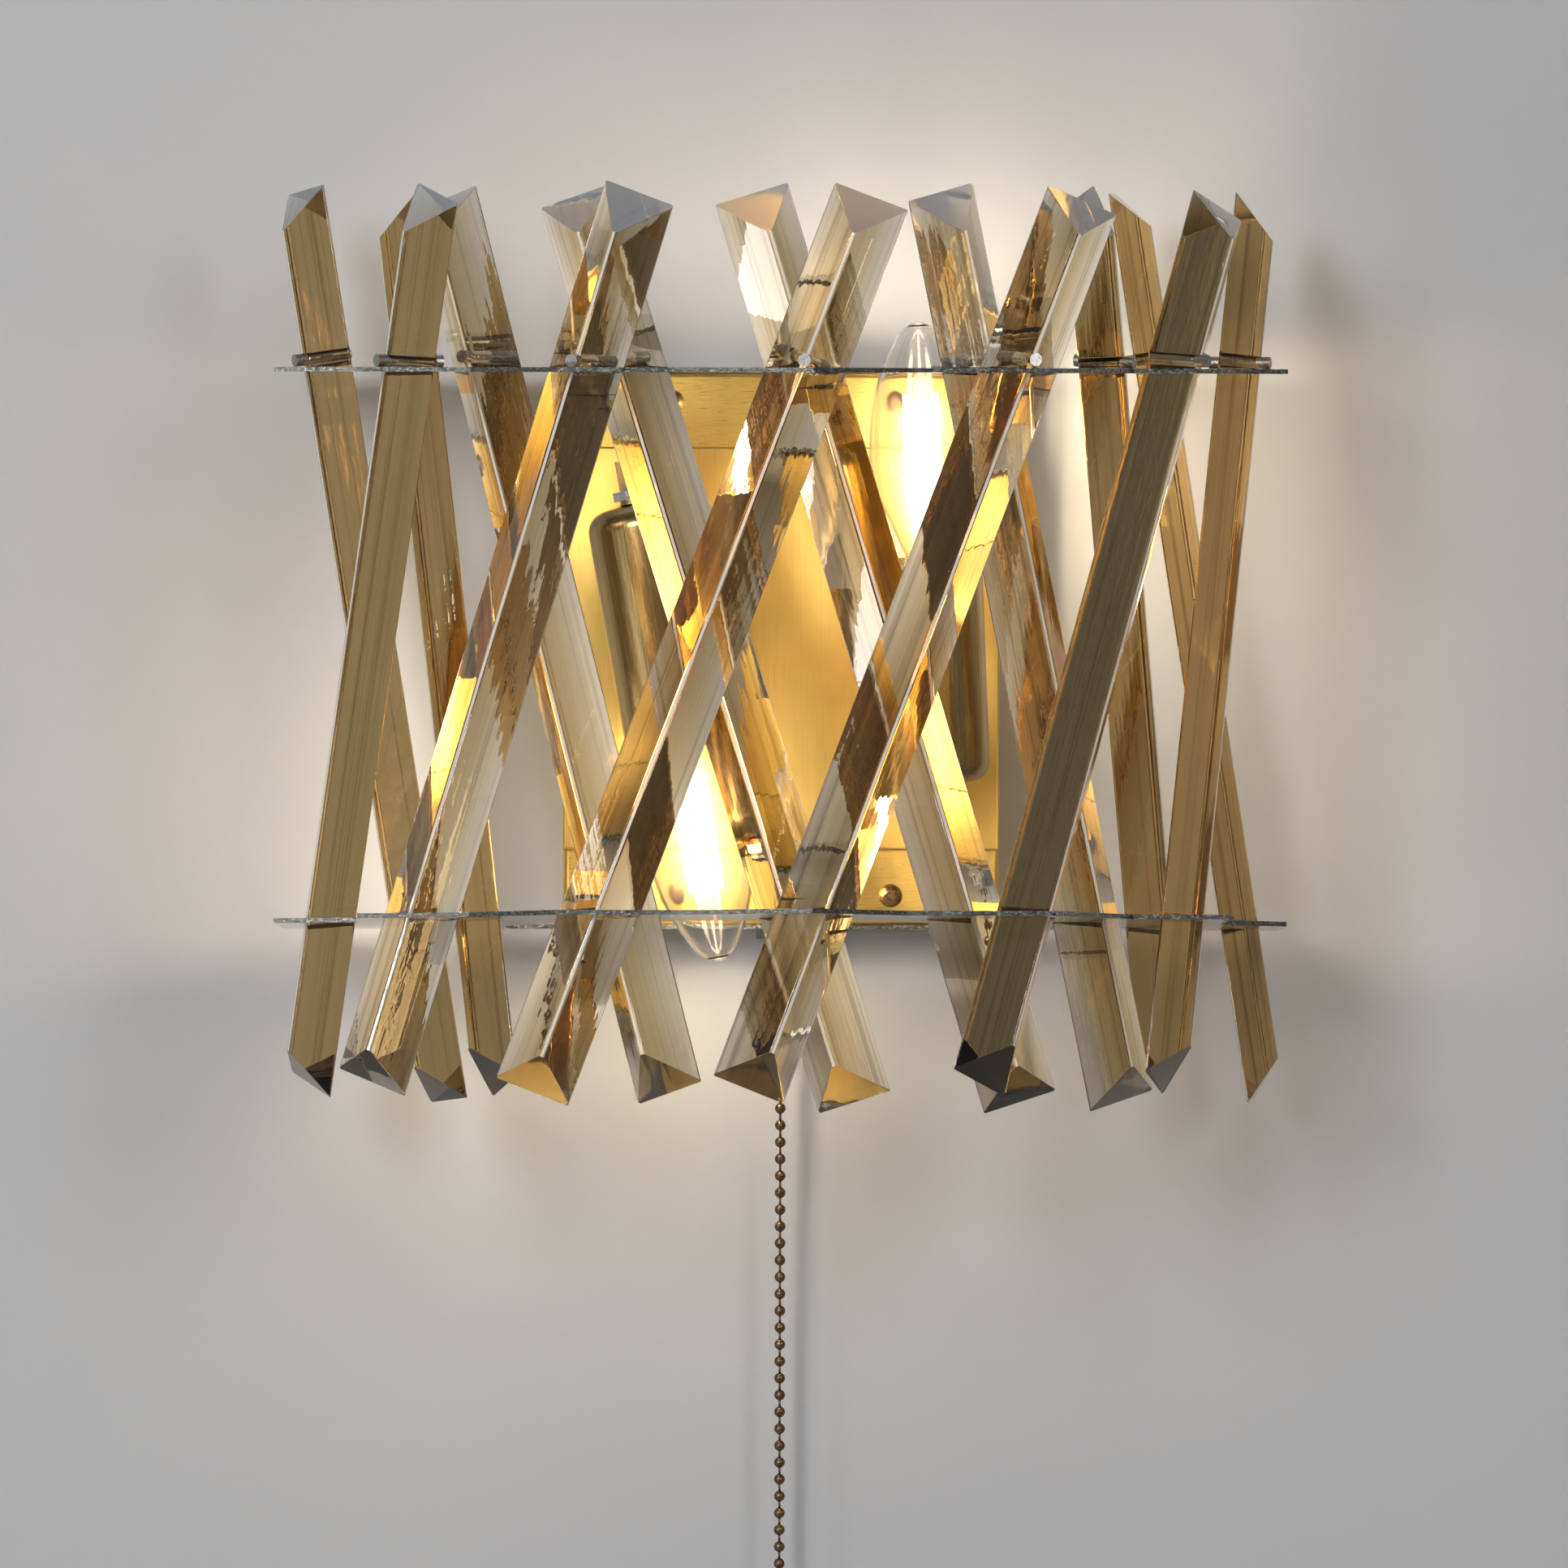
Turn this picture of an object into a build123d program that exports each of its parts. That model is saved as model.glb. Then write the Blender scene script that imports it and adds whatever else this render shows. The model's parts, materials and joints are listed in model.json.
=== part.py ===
"""Crystal wall sconce: two stepped steel plates on a brass back pan, fourteen hanging prisms and two lamps.

Millimetres. +Z is up, the wall is the plane y = 0 and the light stands off it towards -Y.
The origin is the middle of the wall bracket's screw holes.
"""

import os
from collections import namedtuple
from math import cos, radians, sin, sqrt, tan

from build123d import *

os.makedirs("parts", exist_ok=True)

# ---------------------------------------------------------------- driving sizes
# Steel plates
PLATE_THICKNESS = 1.5
DECK_HEIGHT = 92.3  # plate's middle above the origin, at the wall
TOE_IN = 2.3  # degrees that each plate leans towards the other at the front
RING_STANDOFF = 44.0  # centre of the hole rings in front of the wall
OUTER_RING = 150.5
RING_STEP = 28.5  # from the outer ring of holes to the inner one
WING_HOLE_STEP = 2.2  # from the outer ring to the lower plate's hole in the left wing
UPPER_HOLE_ANGLES = {  # of the prism holes about the ring's centre, from the left end to the right one
    "outer": (-85, -53.8, -24.8, 2.6, 30.1, 58.1, 82.5),
    "inner": (-81, -52.1, -23.9, 3.7, 31.5, 58.9, 92),
}
LOWER_HOLE_ANGLES = {
    "outer": (-75.9, -50.2, -22.3, 4.6, 32.1, 59.1, 93),
    "inner": (-83, -54, -25.0, 1.8, 29.1, 54.9, 89),
}
WINDOW_RIM = 32.0  # from the inner ring in to the window's edge
WING_PAST_RING = 13.0
WING_FRONTS = (44.0, 31.0)  # wings' front corners in front of the ring's centre, left and right
WING_BACK = 16.0  # wings' back edge in front of the wall
STRIP_HALF_WIDTH = 71.0  # strip that lies on the pan
STRIP_GAP = 1.0  # strip's back edge in front of the wall

# Crystal prisms
PRISM_LENGTH = 300.0
PRISM_BASE = 26.0
PRISM_RIDGE = 11.7
BASE_INSET = 5.2  # base face behind the prism's axis
EDGE_FLAT = 1.0
END_CUT = 13.3  # how much shorter the ridge is at each end
TOP_ABOVE_PIN = 55.0
HOLE_CLEARANCE = 0.9

# Hanging pins
PIN_RADIUS = 2.0
PIN_BEHIND_BASE = 6.0
PIN_PAST_RIDGE = 2.6
PIN_FIT = 0.05
REST_GAP = 0.02

# Back pan and lamp panel
PAN_WIDTH = 143.0
PAN_DEPTH = 26.0
PAN_SHEET = 1.2
PAN_CORNER = 2.0
PANEL_BAND = 26.3  # from the plate's middle to the panel's edge
PANEL_THICKNESS = 2.5
PANEL_EDGE = 0.8

# Wall bracket
BRACKET_WIDTH = 116.0
BRACKET_SHEET = 2.0
BRACKET_GAP = 1.0  # to the pan's inside, above and below
BRACKET_LIP = 15.0
BRACKET_NOTCH = 44.0
BRACKET_WINDOW_HEIGHT = 88.0
BRACKET_WINDOW_WIDTH = 26.0
WALL_HOLE_SPACING = 72.0
WALL_HOLE_RADIUS = 2.5
ENTRY_RADIUS = 9.0
ENTRY_HEIGHT = 62.0
BRACKET_ROUND = 3.0

# Screws
PAN_SCREW_X = 36.0
PAN_SCREW_BELOW_DECK = 11.3
PAN_SCREW_RADIUS = 2.0
PAN_SCREW_HEAD = 3.8
PAN_SCREW_DOME = 2.2
PAN_SCREW_PAST_LIP = 3.0
RECESS_SHARE = 1.15  # recess's length to the head's radius
DOME_BREAK = (0.84, 0.6)  # where a head's flank turns into its crown, as shares of its radius and height
CROWN_SHARE = 0.45  # flat of the crown to the head's radius
RECESS_WIDTH = 0.9
RECESS_DEPTH = 1.3
DECK_SCREW_X = 52.0
DECK_SCREW_Y = 12.0
DECK_SCREW_RADIUS = 2.0
DECK_SCREW_HEAD = 3.6
DECK_SCREW_DOME = 1.8
DECK_SCREW_PAST_PAN = 0.5
DECK_SCREW_REACH = PLATE_THICKNESS + PAN_SHEET + DECK_SCREW_PAST_PAN
SCREW_FIT = 0.05

# Lamps
LAMP_STANDOFF = 58.0
LEFT_LAMP_END = (-46.4, 47.4)  # x and z of the cup's domed end
LEFT_LAMP_LEAN = 10.0
RIGHT_LAMP_END = (50.1, -45.7)
RIGHT_LAMP_LEAN = 2.3
CUP_RADIUS = 18.0
CUP_LENGTH = 75.0
CUP_WALL = 0.8
CUP_CROWN = 2.4
CUP_SHOULDER = 7.0
NIPPLE_RADIUS = 5.0
NIPPLE_BORE = 3.5
NIPPLE_PAST_NUT = 1.5
NIPPLE_IN_HOLDER = 9.0
NUT_RADIUS = 8.0
NUT_THICKNESS = 3.0
HOLDER_RADIUS = 13.0
HOLDER_EDGE = 1.2
HOLDER_SEAT_GAP = 0.1
HOLDER_FLOOR = 43.0  # bottom of the sleeve's bore, from the cup's domed end
HOLDER_MOUTH = 66.0
SLEEVE_WALL = 0.8
CAP_RADIUS = 6.9
CAP_WALL = 0.6
CAP_LENGTH = 24.0
CAP_FIT = 0.08
CAP_TOP = 72.0  # cap's rim from the cup's domed end
CAP_TIP_RADIUS = 2.4
CAP_TIP = 2.5
GLASS_WALL = 0.9
GLASS_START = 64.0
GLASS_NECK_END = 74.0
GLASS_TIP = 151.8
GLASS_PROFILE = (
    (11.6, 87.0),
    (16.2, 98.0),
    (17.5, 110.0),
    (15.7, 126.0),
    (11.6, 138.1),
    (6.0, 147.6),
    (3.0, 150.4),
)
STEM_RADIUS = 2.4
STEM_TOP = 92.0
FILAMENT_DISC = 0.8
FILAMENT_DISC_EDGE = 0.8  # disc's rim past the rods
FILAMENT_RADIUS = 1.1
FILAMENT_OFFSET = 4.6
FILAMENT_COUNT = 4
FILAMENT_TOP = 128.0

# Lamp brackets and leads
ARM_WIDTH = 12.0
ARM_SHEET = 1.5
ARM_PAST_AXIS = 8.0
ARM_CORNER = 4.0
FOOT_LENGTH = 14.0
FOOT_SCREW_RADIUS = 1.5
FOOT_SCREW_HEAD = 2.8
FOOT_SCREW_DOME = 1.4
FOOT_SCREW_PAST_PAN = 3.0
LEAD_RADIUS = 2.2
LEAD_ALONG = 34.0  # from the cup's domed end
LEAD_FIT = 0.3
LEAD_INSIDE_PAN = 4.0

# Pull switch and chain
SWITCH_Y = 14.0  # in front of the wall
SWITCH_WIDTH = 24.0
SWITCH_DEPTH = 18.0
SWITCH_HEIGHT = 24.0
SWITCH_GAP = 0.4  # above the pan's sloping return
SWITCH_EDGE = 1.0
NOZZLE_RADIUS = 5.0
NOZZLE_BORE = 2.6
NOZZLE_IN_SWITCH = 5.0
NOZZLE_PAST_NUT = 3.0
NOZZLE_FIT = 0.2
PLUNGER_FIT = 0.08
PLUNGER_TOP = 16.0  # inside the switch, from its underside
BEAD_RADIUS = 1.8
BEAD_FLAT = 0.75  # half the bead's straight middle
BEAD_PITCH = 5.55
BEAD_COUNT = 40
BEAD_SIDES = 10
LINK_RADIUS = 0.45
KNOB_RADIUS = 4.5
KNOB_LENGTH = 15.0
KNOB_WIDEST = 11.2  # below its top
KNOB_NECK = 2.2

# Terminal block
TERMINAL_WIDTH = 34.0
TERMINAL_HEIGHT = 15.0
TERMINAL_DEPTH = 13.0
TERMINAL_X = 34.0
TERMINAL_Z = -40.0
TERMINAL_WAYS = 4
TERMINAL_PITCH = 8.0
TERMINAL_BORE = 1.8
TERMINAL_EDGE = 1.5

# ---------------------------------------------------------------- shared places
TILT = radians(TOE_IN)
DECK = Plane(origin=(0, 0, DECK_HEIGHT), x_dir=(1, 0, 0), z_dir=(0, -sin(TILT), cos(TILT)))
UNDER_DECK = Plane(origin=(0, 0, -DECK_HEIGHT), x_dir=(1, 0, 0), z_dir=(0, sin(TILT), cos(TILT)))
INNER_RING = OUTER_RING - RING_STEP
WING_HALF_WIDTH = OUTER_RING + WING_PAST_RING
PAN_FACE = -PAN_DEPTH
PANEL_FACE = PAN_FACE - PANEL_THICKNESS

Hanging = namedtuple("Hanging", "upper lower along side ridge pin")


def deck_z(distance, below=0.0):
    """Height of the upper plate's middle, or of a surface below it, at a distance from the wall."""
    return DECK_HEIGHT - distance * tan(TILT) - below / cos(TILT)


def hole_centre(ring, step, upper):
    """Centre of a numbered hole on the middle of a plate."""
    angles = UPPER_HOLE_ANGLES if upper else LOWER_HOLE_ANGLES
    angle = radians(angles[ring][step])
    radius = OUTER_RING if ring == "outer" else INNER_RING
    if ring == "outer" and step == 0 and not upper:
        radius += WING_HOLE_STEP
    distance = RING_STANDOFF + radius * cos(angle)
    height = deck_z(distance)
    return Vector(radius * sin(angle), -distance, height if upper else -height)


def hanging(upper_hole, lower_hole, twist):
    """Axes of a prism that runs through two holes, and the point where its pin lies across it."""
    upper = hole_centre(*upper_hole, True)
    lower = hole_centre(*lower_hole, False)
    along = (upper - lower).normalized()
    facing = Vector(sin(radians(twist)), -cos(radians(twist)), 0)
    ridge = (facing - along * facing.dot(along)).normalized()
    side = ridge.cross(along)
    slope = DECK.z_dir.dot(ridge)
    ends = (-BASE_INSET - PIN_BEHIND_BASE, PRISM_RIDGE - BASE_INSET + PIN_PAST_RIDGE)
    drop = max(-end * slope for end in ends)
    rise = PLATE_THICKNESS / 2 + REST_GAP + PIN_RADIUS * sqrt(1 - slope**2) + drop
    pin = upper + along * (rise / DECK.z_dir.dot(along))
    return Hanging(upper, lower, along, side, ridge, pin)


# Front prisms lean to the right, inner ones to the left: (upper hole, lower hole, twist of the ridge)
CRYSTALS = {
    "front_crystal_1": hanging(("outer", 1), ("outer", 0), -55.6),
    "front_crystal_2": hanging(("outer", 2), ("outer", 1), -22),
    "front_crystal_3": hanging(("outer", 3), ("outer", 2), -5.8),
    "front_crystal_4": hanging(("outer", 4), ("outer", 3), 17.6),
    "front_crystal_5": hanging(("outer", 5), ("outer", 4), 45.6),
    "front_crystal_6": hanging(("outer", 6), ("outer", 5), 74.2),
    "inner_crystal_1": hanging(("inner", 0), ("inner", 1), -69.5),
    "inner_crystal_2": hanging(("inner", 1), ("inner", 2), -31.4),
    "inner_crystal_3": hanging(("inner", 2), ("inner", 3), -16.6),
    "inner_crystal_4": hanging(("inner", 3), ("inner", 4), 12.4),
    "inner_crystal_5": hanging(("inner", 4), ("inner", 5), 30.3),
    "inner_crystal_6": hanging(("inner", 5), ("inner", 6), 65),
    "left_end_crystal": hanging(("outer", 0), ("inner", 0), -59.6),
    "right_end_crystal": hanging(("inner", 6), ("outer", 6), 82),
}


def save(builder, name):
    """Names a finished sub-part and writes it."""
    builder.part.label = name
    export_step(builder.part, f"parts/{name}.step")


def prism_section(flat=0.0, clearance=0.0):
    """Triangle with its base towards the lamp, with flattened edges or grown by a clearance."""
    with BuildSketch() as section:
        with BuildLine():
            Polyline(
                (-PRISM_BASE / 2, -BASE_INSET),
                (PRISM_BASE / 2, -BASE_INSET),
                (0, PRISM_RIDGE - BASE_INSET),
                close=True,
            )
        make_face()
        if flat:
            chamfer(section.vertices(), flat)
        if clearance:
            offset(amount=clearance, kind=Kind.INTERSECTION)
    return section.sketch


# ---------------------------------------------------------------- crystals and their pins
def make_crystal(name, place):
    """One prism with slanting ends and the cross hole for its pin."""
    top = TOP_ABOVE_PIN
    bottom = top - PRISM_LENGTH
    back, front = -BASE_INSET, PRISM_RIDGE - BASE_INSET
    with BuildPart() as crystal:
        with BuildSketch(Plane(place.pin + place.along * bottom, place.side, place.along)):
            add(prism_section(flat=EDGE_FLAT))
        extrude(amount=PRISM_LENGTH)
        with BuildSketch(Plane(place.pin, place.ridge, place.side)):
            with BuildLine():
                ends = (back, top), (front, top - END_CUT), (front, bottom + END_CUT), (back, bottom)
                Polyline(*ends, close=True)
            make_face()
        extrude(amount=PRISM_BASE, both=True, mode=Mode.INTERSECT)
        with BuildSketch(Plane(place.pin, place.side, place.ridge)):
            Circle(PIN_RADIUS + PIN_FIT)
        extrude(amount=PRISM_BASE, both=True, mode=Mode.SUBTRACT)
    save(crystal, name)


def make_pin(name, place):
    """Steel pin through a prism, from behind its base to just past its ridge."""
    start = place.pin - place.ridge * (BASE_INSET + PIN_BEHIND_BASE)
    with BuildPart() as pin:
        with BuildSketch(Plane(start, place.side, place.ridge)):
            Circle(PIN_RADIUS)
        extrude(amount=PIN_BEHIND_BASE + PRISM_RIDGE + PIN_PAST_RIDGE)
    save(pin, name)


for crystal_name, crystal_place in CRYSTALS.items():
    make_crystal(crystal_name, crystal_place)
    make_pin(crystal_name.replace("crystal", "pin"), crystal_place)

# ---------------------------------------------------------------- plates
# Stepped edge from the left wing to the right one: (angle about the ring's centre, distance past the outer ring)
STEPPED_EDGE = (
    (-68.3, -4.2),
    (-52.4, 18.5),
    (-39.5, 3.7),
    (-25.0, 15.0),
    (-12.8, 3.3),
    (3.3, 21.8),
    (14.6, 4.5),
    (30.1, 22.9),
    (44.5, 7.9),
    (51.9, 31.1),
    (70.5, -0.9),
)


def plate_outline():
    """A plate in its own plane: stepped front, square wings, strip on the pan and window over the lamps."""
    left_front, right_front = WING_FRONTS
    stepped = []
    for angle, past in STEPPED_EDGE:
        radius = OUTER_RING + past
        stepped.append((radius * sin(radians(angle)), -RING_STANDOFF - radius * cos(radians(angle))))
    with BuildSketch() as window:
        with Locations((0, -RING_STANDOFF)):
            Circle(INNER_RING - WINDOW_RIM)
        with Locations((0, -PAN_DEPTH / 2)):
            Rectangle(2 * WING_HALF_WIDTH, PAN_DEPTH, mode=Mode.SUBTRACT)
    with BuildSketch() as outline:
        with BuildLine():
            Polyline(
                (-WING_HALF_WIDTH, -RING_STANDOFF - left_front),
                *stepped,
                (WING_HALF_WIDTH, -RING_STANDOFF - right_front),
                (WING_HALF_WIDTH, -WING_BACK),
                (STRIP_HALF_WIDTH, -WING_BACK),
                (STRIP_HALF_WIDTH, -STRIP_GAP),
                (-STRIP_HALF_WIDTH, -STRIP_GAP),
                (-STRIP_HALF_WIDTH, -WING_BACK),
                (-WING_HALF_WIDTH, -WING_BACK),
                close=True,
            )
        make_face()
        add(window.sketch, mode=Mode.SUBTRACT)
        with Locations((-DECK_SCREW_X, -DECK_SCREW_Y), (DECK_SCREW_X, -DECK_SCREW_Y)):
            Circle(DECK_SCREW_RADIUS + SCREW_FIT, mode=Mode.SUBTRACT)
    return outline.sketch


def prism_opening(place, centre):
    """Cutter for a prism's hole in a plate, along the prism."""
    with BuildPart() as cutter:
        with BuildSketch(Plane(centre, place.side, place.along)):
            add(prism_section(clearance=HOLE_CLEARANCE))
        extrude(amount=PRISM_BASE / 2, both=True)
    return cutter.part


with BuildPart() as upper_plate:
    with BuildSketch(DECK):
        add(plate_outline())
    extrude(amount=PLATE_THICKNESS / 2, both=True)
    for crystal_place in CRYSTALS.values():
        add(prism_opening(crystal_place, crystal_place.upper), mode=Mode.SUBTRACT)
save(upper_plate, "upper_plate")

with BuildPart() as lower_plate:
    with BuildSketch(UNDER_DECK):
        add(plate_outline())
    extrude(amount=PLATE_THICKNESS / 2, both=True)
    for crystal_place in CRYSTALS.values():
        add(prism_opening(crystal_place, crystal_place.lower), mode=Mode.SUBTRACT)
    with BuildSketch(Plane.XY.offset(-DECK_HEIGHT)):
        with Locations((0, -SWITCH_Y)):
            Circle(NOZZLE_RADIUS + NOZZLE_FIT)
    extrude(amount=PAN_DEPTH / 2, both=True, mode=Mode.SUBTRACT)
save(lower_plate, "lower_plate")


# ---------------------------------------------------------------- screws
def facing_out(x, y, z):
    """Plane square to the wall with its normal pointing into the room."""
    return Plane(origin=(x, y, z), x_dir=(1, 0, 0), z_dir=(0, -1, 0))


def domed_screw(seat, radius, head, dome, reach):
    """Screw with a low domed head and a cross recess; the seat's z axis points out of the head."""
    recess = RECESS_SHARE * head
    with BuildPart() as screw:
        with BuildSketch(Plane(seat.origin, seat.x_dir, -seat.y_dir)):
            with BuildLine():
                turn = (DOME_BREAK[0] * head, DOME_BREAK[1] * dome)
                Polyline((0, 0), (head, 0), turn, (CROWN_SHARE * head, dome), (0, dome), close=True)
            make_face()
            with Locations((radius / 2, -reach / 2)):
                Rectangle(radius, reach)
        revolve(axis=Axis(seat.origin, seat.z_dir))
        with BuildSketch(seat.offset(dome - RECESS_DEPTH)):
            Rectangle(recess, RECESS_WIDTH)
            Rectangle(RECESS_WIDTH, recess)
        extrude(amount=dome, mode=Mode.SUBTRACT)
    return screw.part


PAN_SCREW_Z = DECK_HEIGHT - PAN_SCREW_BELOW_DECK
PAN_SCREW_SEATS = [
    facing_out(x, PAN_FACE, z) for x in (-PAN_SCREW_X, PAN_SCREW_X) for z in (-PAN_SCREW_Z, PAN_SCREW_Z)
]
with BuildPart() as pan_screws:
    for screw_seat in PAN_SCREW_SEATS:
        add(
            domed_screw(
                screw_seat,
                PAN_SCREW_RADIUS,
                PAN_SCREW_HEAD,
                PAN_SCREW_DOME,
                PAN_SHEET + BRACKET_SHEET + PAN_SCREW_PAST_LIP,
            )
        )
save(pan_screws, "pan_screws")

DECK_SCREW_SEATS = [
    Plane(
        deck.from_local_coords((x, -DECK_SCREW_Y, outwards * PLATE_THICKNESS / 2)),
        deck.x_dir,
        deck.z_dir * outwards,
    )
    for deck, outwards in ((DECK, 1), (UNDER_DECK, -1))
    for x in (-DECK_SCREW_X, DECK_SCREW_X)
]
with BuildPart() as plate_screws:
    for screw_seat in DECK_SCREW_SEATS:
        add(domed_screw(screw_seat, DECK_SCREW_RADIUS, DECK_SCREW_HEAD, DECK_SCREW_DOME, DECK_SCREW_REACH))
save(plate_screws, "plate_screws")

# ---------------------------------------------------------------- lamps
Lamp = namedtuple("Lamp", "end along side")


def lamp_place(end, lean, upwards):
    """Domed end of a lamp's cup, the direction that its bulb points and the direction across it."""
    x, z = end
    angle = radians(lean)
    along = Vector(-sin(angle), 0, cos(angle)) if upwards else Vector(sin(angle), 0, -cos(angle))
    return Lamp(Vector(x, -LAMP_STANDOFF, z), along, Vector(0, 1, 0).cross(along))


LAMPS = {
    "left": lamp_place(LEFT_LAMP_END, LEFT_LAMP_LEAN, False),
    "right": lamp_place(RIGHT_LAMP_END, RIGHT_LAMP_LEAN, True),
}


def lamp_profile(lamp):
    """Plane through a lamp's axis: x is the radius and y runs from the domed end to the bulb's tip."""
    return Plane(lamp.end, lamp.side, lamp.side.cross(lamp.along))


def lamp_level(lamp, distance):
    """Plane square to a lamp's axis at a distance from the domed end."""
    return Plane(lamp.end + lamp.along * distance, lamp.side, lamp.along)


def lead_plane(lamp, distance):
    """Plane parallel to the wall at a height y, centred where a lamp's lead leaves its cup."""
    at = lamp.end + lamp.along * LEAD_ALONG
    return facing_out(at.X, distance, at.Z)


CUP_SEAT = CUP_CROWN * (NIPPLE_RADIUS + SCREW_FIT) / CUP_RADIUS
HOLDER_START = CUP_WALL + CUP_CROWN * HOLDER_RADIUS / (CUP_RADIUS - CUP_WALL) + HOLDER_SEAT_GAP
ARM_BACK = CUP_SEAT - ARM_SHEET
NUT_BACK = ARM_BACK - NUT_THICKNESS
PANEL_REACH = LAMP_STANDOFF + PANEL_FACE


def foot_screw_seat(lamp):
    """Face of a lamp bracket's foot, where its screw's head sits."""
    at = lamp.end + lamp.along * (ARM_BACK - FOOT_LENGTH / 2)
    return facing_out(at.X, PANEL_FACE - ARM_SHEET, at.Z)


def cup_shape(radius, start, shoulder):
    """Half section of a cup's form with a domed end and a round shoulder, from a start along the axis."""
    with BuildSketch() as form:
        with BuildLine():
            Polyline((0, start), (radius, start + CUP_CROWN), (radius, CUP_LENGTH), (0, CUP_LENGTH), close=True)
        make_face()
        corner = form.vertices().sort_by_distance((radius, start + CUP_CROWN))[0]
        fillet(corner, shoulder)
    return form.sketch


def make_cup(name, lamp):
    """Spun brass cup, open at the bulb, with the nipple's hole and the lead's hole."""
    with BuildPart() as cup:
        with BuildSketch(lamp_profile(lamp)):
            add(cup_shape(CUP_RADIUS, 0, CUP_SHOULDER))
            add(cup_shape(CUP_RADIUS - CUP_WALL, CUP_WALL, CUP_SHOULDER - CUP_WALL), mode=Mode.SUBTRACT)
            Rectangle(2 * (NIPPLE_RADIUS + SCREW_FIT), CUP_SHOULDER, mode=Mode.SUBTRACT)
        revolve(axis=Axis(lamp.end, lamp.along))
        with BuildSketch(lead_plane(lamp, -LAMP_STANDOFF)):
            Circle(LEAD_RADIUS + LEAD_FIT)
        extrude(amount=-LAMP_STANDOFF, mode=Mode.SUBTRACT)
    save(cup, name)


for lamp_name, lamp in LAMPS.items():
    make_cup(f"{lamp_name}_cup", lamp)


def turned(lamp, sketch):
    """Solid of revolution about a lamp's axis from a half section in its profile plane."""
    with BuildPart() as form:
        with BuildSketch(lamp_profile(lamp)):
            add(sketch)
        revolve(axis=Axis(lamp.end, lamp.along))
    return form.part


def tube_section(inner, outer, start, end):
    """Half section of a tube between two distances along a lamp's axis."""
    with BuildSketch() as section:
        with Locations(((inner + outer) / 2, (start + end) / 2)):
            Rectangle(outer - inner, end - start)
    return section.sketch


def holder_section():
    """Half section of a lamp holder: solid base with the nipple's hole, open sleeve bore above it."""
    bore = CAP_RADIUS + CAP_FIT + SLEEVE_WALL
    with BuildSketch() as section:
        with Locations((HOLDER_RADIUS / 2, (HOLDER_START + HOLDER_MOUTH) / 2)):
            Rectangle(HOLDER_RADIUS, HOLDER_MOUTH - HOLDER_START)
        chamfer(section.vertices().sort_by(Axis.X)[-2:], HOLDER_EDGE)
        add(tube_section(0, bore, HOLDER_FLOOR, HOLDER_MOUTH), mode=Mode.SUBTRACT)
        add(
            tube_section(0, NIPPLE_RADIUS + SCREW_FIT, HOLDER_START, HOLDER_START + NIPPLE_IN_HOLDER),
            mode=Mode.SUBTRACT,
        )
    return section.sketch


def glass_section(wall):
    """Half section inside a candle bulb's outer form, a wall's thickness in from it."""
    neck = CAP_RADIUS - CAP_WALL - wall
    flank = [(radius - wall, along) for radius, along in GLASS_PROFILE]
    tip = (0, GLASS_TIP - wall)
    with BuildSketch() as section:
        with BuildLine():
            Polyline((0, GLASS_START), (neck, GLASS_START), (neck, GLASS_NECK_END), *flank, tip, close=True)
        make_face()
    return section.sketch


def bulb_cap_section():
    """Half section of a bulb's screw cap with its closed end and contact tip."""
    start = CAP_TOP - CAP_LENGTH
    with BuildSketch() as section:
        add(tube_section(0, CAP_RADIUS, start, CAP_TOP))
        add(tube_section(0, CAP_RADIUS - CAP_WALL, GLASS_START, CAP_TOP), mode=Mode.SUBTRACT)
        add(tube_section(0, CAP_TIP_RADIUS, start - CAP_TIP, start))
    return section.sketch


def panel_cutter(planes, radius):
    """Round cutters square to the wall, through the panel and the pan's face."""
    with BuildPart() as cutter:
        for plane in planes:
            with BuildSketch(plane):
                Circle(radius)
            extrude(amount=-PAN_DEPTH / 2)
    return cutter.part


def lamp_arm(lamp):
    """Bent strip: foot on the panel, arm out to the lamp's axis."""
    with BuildPart() as arm:
        with BuildSketch(lamp_level(lamp, CUP_SEAT)) as strip:
            with Locations((0, (PANEL_REACH - ARM_PAST_AXIS) / 2)):
                Rectangle(ARM_WIDTH, PANEL_REACH + ARM_PAST_AXIS)
            fillet(strip.vertices().sort_by(Axis.Y)[:2], ARM_CORNER)
            Circle(NIPPLE_RADIUS + SCREW_FIT, mode=Mode.SUBTRACT)
        extrude(amount=-ARM_SHEET)
        with BuildSketch(lamp_level(lamp, ARM_BACK)):
            with Locations((0, PANEL_REACH - ARM_SHEET / 2)):
                Rectangle(ARM_WIDTH, ARM_SHEET)
        extrude(amount=-FOOT_LENGTH)
        add(panel_cutter([foot_screw_seat(lamp)], FOOT_SCREW_RADIUS + SCREW_FIT), mode=Mode.SUBTRACT)
    return arm.part


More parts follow.
